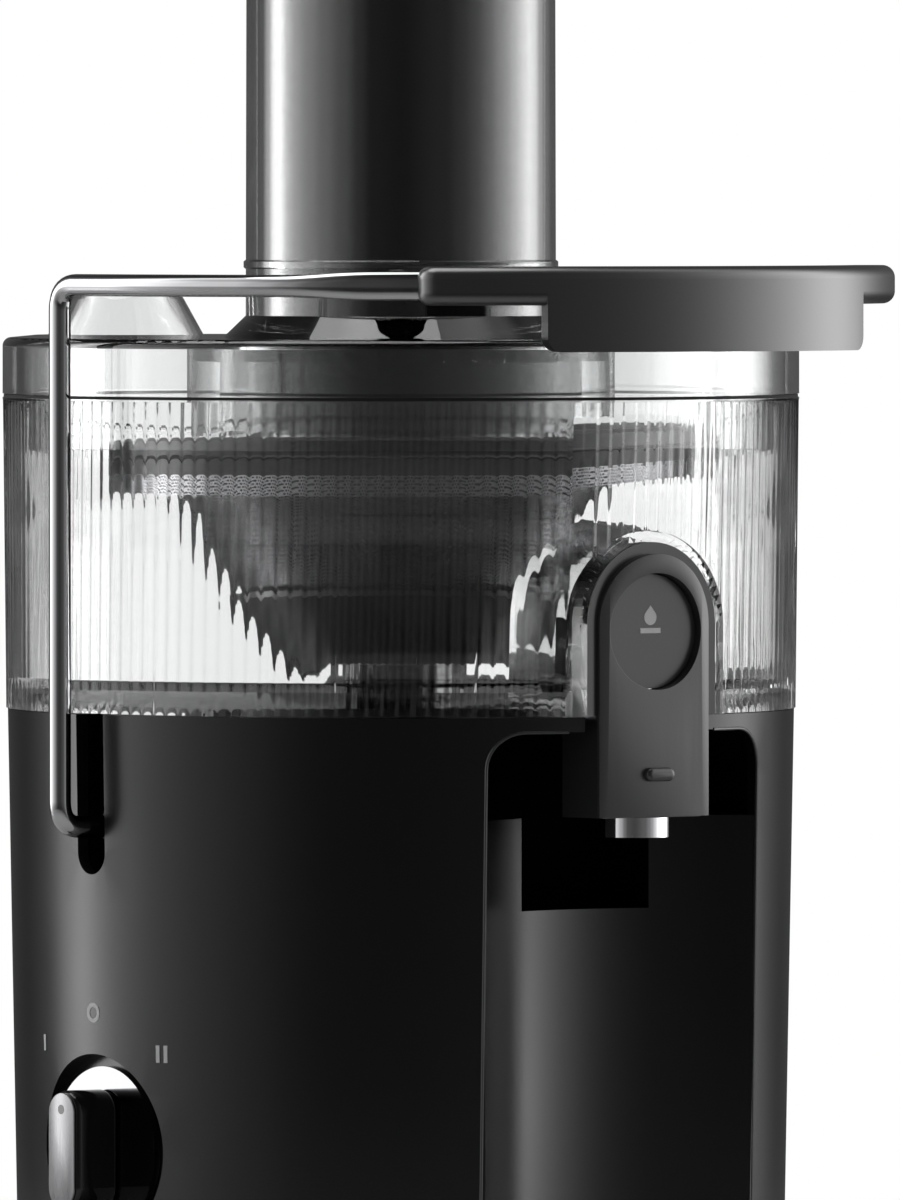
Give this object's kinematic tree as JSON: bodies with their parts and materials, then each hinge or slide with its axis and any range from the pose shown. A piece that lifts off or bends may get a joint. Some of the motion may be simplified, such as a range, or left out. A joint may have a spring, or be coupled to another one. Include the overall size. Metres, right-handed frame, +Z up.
{
  "type": "centrifugal juicer",
  "caption": "Centrifugal juicer: tapered motor base, clear fluted bowl with drip-stop spout, wide feed chute with pusher, speed knob and hinged locking bail.",
  "frame": {"origin": "on the worktop under the filter basket's axis, which is also the middle of the outline in plan", "axes": "+Z up along the feed chute, -Y towards the juice spout, +X to the right of a person facing the spout's back from behind the machine"},
  "size_m": [0.242, 0.292, 0.425],
  "materials": {
    "housing_plastic": "satin to gloss black",
    "base_plastic": "fine matt black",
    "plain_steel": "zinc plated",
    "soft_black": "matt",
    "core_steel": "laminated",
    "winding": "varnished copper winding",
    "brush_brass": "plain",
    "bright_steel": "ground",
    "bracket_alloy": "die cast",
    "board": "green board",
    "bush_plastic": "smooth",
    "copper": "copper",
    "fan_plastic": "matt",
    "coupling_plastic": "glass-filled",
    "clear_bowl": "clear, fluted",
    "clear_lid": "clear, polished",
    "spout_plastic": "satin dark grey",
    "chrome_trim": "polished",
    "basket_plastic": "black",
    "stainless": "fine perforated sheet",
    "pusher_gloss": "glossy black",
    "chrome_rod": "polished",
    "handle_plastic": "satin black",
    "dial_chrome": "mirror",
    "knob_plastic": "gloss black",
    "insert_silver": "satin silver",
    "container_plastic": "satin black"
  },
  "bodies": {
    "base": {"base_plate": "base_plastic", "rubber_foot_1": "soft_black", "rubber_foot_2": "soft_black", "rubber_foot_3": "soft_black", "rubber_foot_4": "soft_black", "housing_screws": "plain_steel", "motor_housing": "housing_plastic", "top_deck": "housing_plastic", "rear_panel": "housing_plastic", "cord_inlet": "soft_black", "stator_stack": "core_steel", "field_coil_left": "winding", "field_coil_right": "winding", "brush_holder_left": "brush_brass", "brush_holder_right": "brush_brass", "bearing_lower": "bright_steel", "bearing_upper": "bright_steel", "motor_bracket_lower": "bracket_alloy", "motor_bracket_upper": "bracket_alloy", "motor_tie_rods": "plain_steel", "motor_damper_1": "soft_black", "motor_damper_2": "soft_black", "motor_damper_3": "soft_black", "motor_damper_4": "soft_black", "rotary_switch": "base_plastic", "control_board": "board", "interlock_switch": "base_plastic", "shaft_seal": "soft_black", "pivot_bush_left": "bush_plastic", "pivot_bush_right": "bush_plastic"},
    "rotor": {"motor_shaft": "bright_steel", "rotor_core": "core_steel", "commutator": "copper", "cooling_fan": "fan_plastic", "drive_coupling": "coupling_plastic"},
    "collector": {"juice_collector": "clear_bowl", "collector_seal": "soft_black", "spout_body": "spout_plastic", "spout_cover": "spout_plastic", "spout_nozzle": "chrome_trim", "drip_spring": "bright_steel"},
    "drip_stop": {"drip_button": "spout_plastic", "drip_stem": "bright_steel", "drip_valve": "soft_black"},
    "basket": {"basket_hub": "basket_plastic", "grating_disc": "stainless", "filter_cone": "stainless", "basket_rim": "basket_plastic"},
    "lid": {"lid": "clear_lid", "feed_chute": "clear_lid"},
    "pusher": {"pusher_tube": "pusher_gloss", "pusher_cap": "pusher_gloss"},
    "bail": {"bail_rod_left": "chrome_rod", "bail_rod_right": "chrome_rod", "bail_handle": "handle_plastic"},
    "knob": {"knob_dial": "dial_chrome", "knob_grip": "knob_plastic", "knob_insert": "insert_silver", "knob_spindle": "bright_steel"},
    "pulp_bin": {"pulp_container": "container_plastic"}
  },
  "joints": [
    {"name": "rotor_spin", "type": "hinge", "parent": "base", "child": "rotor", "pos_m": [0, 0, 0.1], "axis": [0, 0, 1], "continuous": true},
    {"name": "basket_spin", "type": "hinge", "parent": "collector", "child": "basket", "pos_m": [0, 0, 0.21], "axis": [0, 0, 1], "continuous": true},
    {"name": "collector_lift", "type": "slide", "parent": "base", "child": "collector", "axis": [0, 0, 1], "range_m": [0, 0.12]},
    {"name": "lid_lift", "type": "slide", "parent": "collector", "child": "lid", "axis": [0, 0, 1], "range_m": [0, 0.1]},
    {"name": "pusher_slide", "type": "slide", "parent": "lid", "child": "pusher", "axis": [0, 0, 1], "range_m": [0, 0.185]},
    {"name": "bail_swing", "type": "hinge", "parent": "base", "child": "bail", "pos_m": [0, 0, 0.1545], "axis": [1, 0, 0], "range_deg": [0, 85]},
    {"name": "knob_turn", "type": "hinge", "parent": "base", "child": "knob", "pos_m": [-0.107, 0, 0.0667], "axis": [1, 0, 0], "range_deg": [-46, 48]},
    {"name": "drip_press", "type": "slide", "parent": "collector", "child": "drip_stop", "axis": [0, 1, 0], "range_m": [0, 0.0022], "stiffness_N_per_m": 600, "springref_m": -0.001},
    {"name": "pulp_bin_slide", "type": "slide", "parent": "base", "child": "pulp_bin", "axis": [0, 1, 0], "range_m": [0, 0.12]}
  ],
  "couplings": [
    {"joint": "basket_spin", "follows": "rotor_spin", "ratio": 1}
  ]
}
